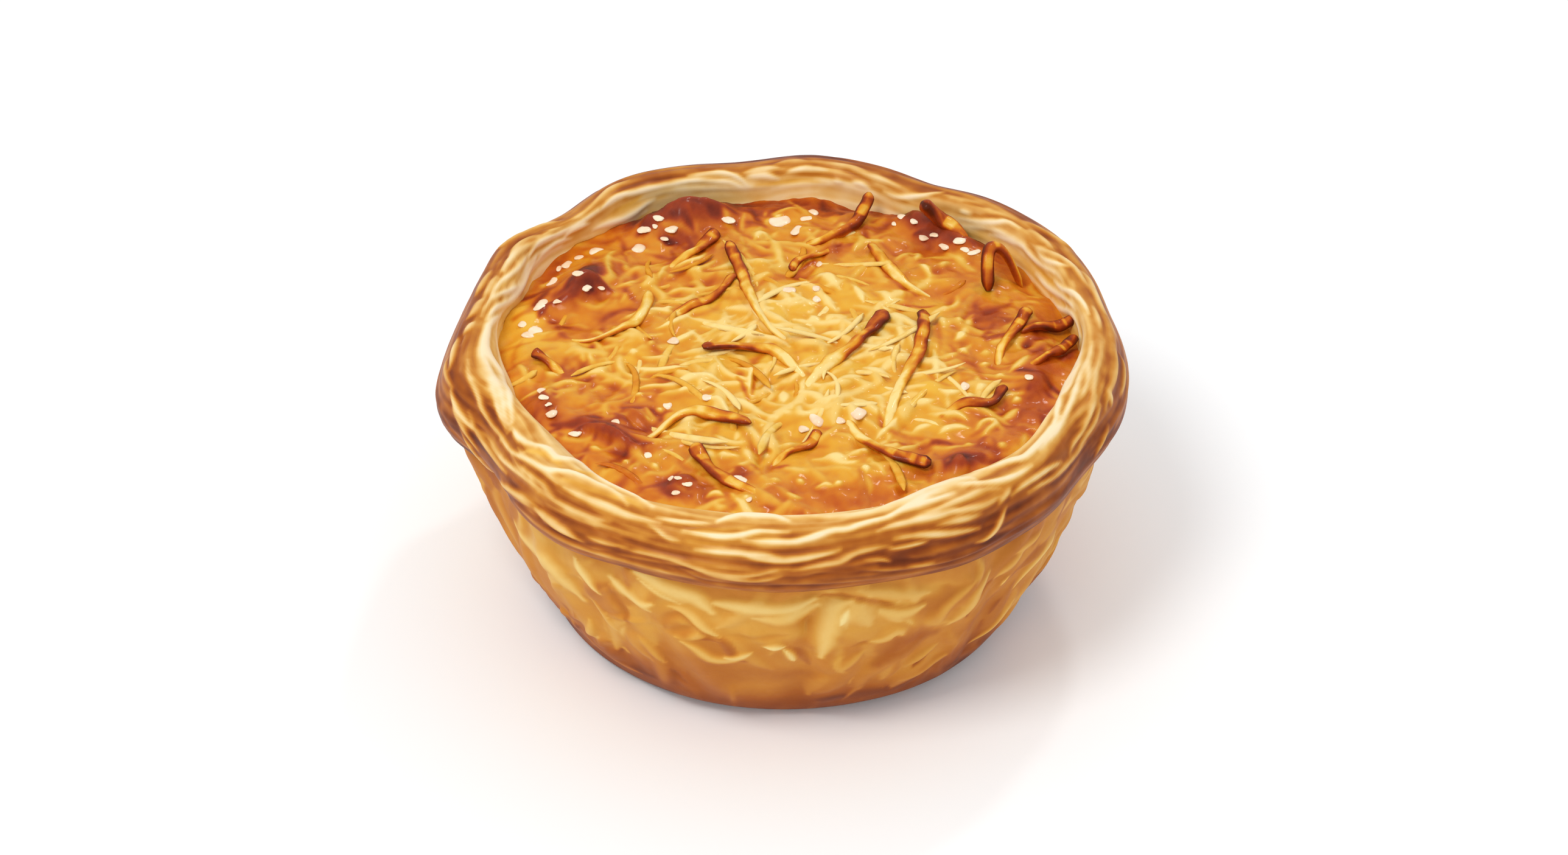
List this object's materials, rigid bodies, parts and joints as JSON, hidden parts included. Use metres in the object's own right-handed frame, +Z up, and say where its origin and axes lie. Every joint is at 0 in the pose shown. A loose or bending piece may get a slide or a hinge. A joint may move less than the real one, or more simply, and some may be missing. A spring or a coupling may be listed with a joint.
{
  "type": "coconut tart",
  "caption": "Round coconut tart: a flaky pastry case with a draped, layered rim round a domed, toasted coconut filling with curled shreds.",
  "frame": {"origin": "middle of the flat foot, at the bottom of the box", "axes": "+Z up out of the filling, -Y towards the side that the picture shows, +X to its right"},
  "size_m": [0.0816, 0.0815, 0.0357],
  "materials": {
    "pastry": "baked flaky pastry, golden with brown edges",
    "filling": "glossy toasted coconut custard with shreds"
  },
  "bodies": {
    "root": {"pastry_case": "pastry", "coconut_filling": "filling"}
  },
  "joints": []
}
